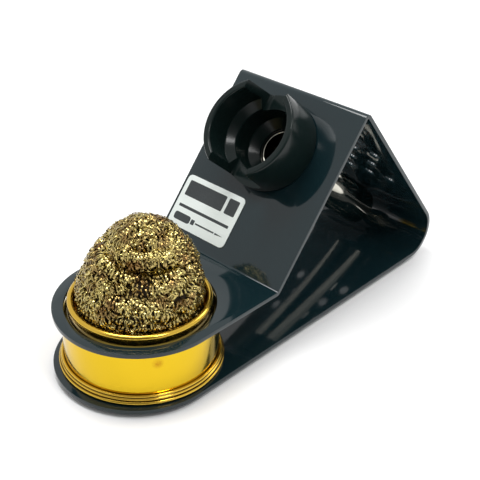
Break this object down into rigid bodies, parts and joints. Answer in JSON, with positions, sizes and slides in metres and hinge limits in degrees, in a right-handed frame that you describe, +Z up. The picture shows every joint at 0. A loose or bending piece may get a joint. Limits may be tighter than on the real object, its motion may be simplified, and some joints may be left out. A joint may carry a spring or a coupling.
{
  "type": "soldering iron stand",
  "caption": "Bent-sheet bench stand with a slanted cup and guard tube for a soldering iron and a gold tin of brass wool for cleaning its tip.",
  "frame": {"origin": "on the bench, under the middle of the stand's bounding box", "axes": "+Z up, +Y from the tin towards the rear bend, +X to the right seen from the tin's end"},
  "size_m": [0.08, 0.2206, 0.1147],
  "materials": {
    "frame_paint": "glossy",
    "cup_moulding": "glossy",
    "spring_steel": "satin",
    "tube_steel": "polished",
    "label_film": "satin",
    "tin_gold": "polished, gold anodised",
    "brass_wool": "bright knitted brass ribbon",
    "foot_rubber": "matt"
  },
  "bodies": {
    "stand": {"bent_frame": "frame_paint", "holder_cup": "cup_moulding", "cup_spring_washer": "spring_steel", "guard_tube": "tube_steel", "label": "label_film", "foot_front": "foot_rubber", "foot_rear_left": "foot_rubber", "foot_rear_right": "foot_rubber"},
    "tin": {"tin_pan": "tin_gold", "tin_drum": "tin_gold"},
    "sponge": {"brass_sponge": "brass_wool"}
  },
  "joints": [
    {"name": "tin_turn", "type": "hinge", "parent": "stand", "child": "tin", "pos_m": [0, -0.06885, 0], "axis": [0, 0, 1], "continuous": true},
    {"name": "sponge_lift", "type": "slide", "parent": "tin", "child": "sponge", "axis": [0, 0, 1], "range_m": [0, 0.035]}
  ]
}
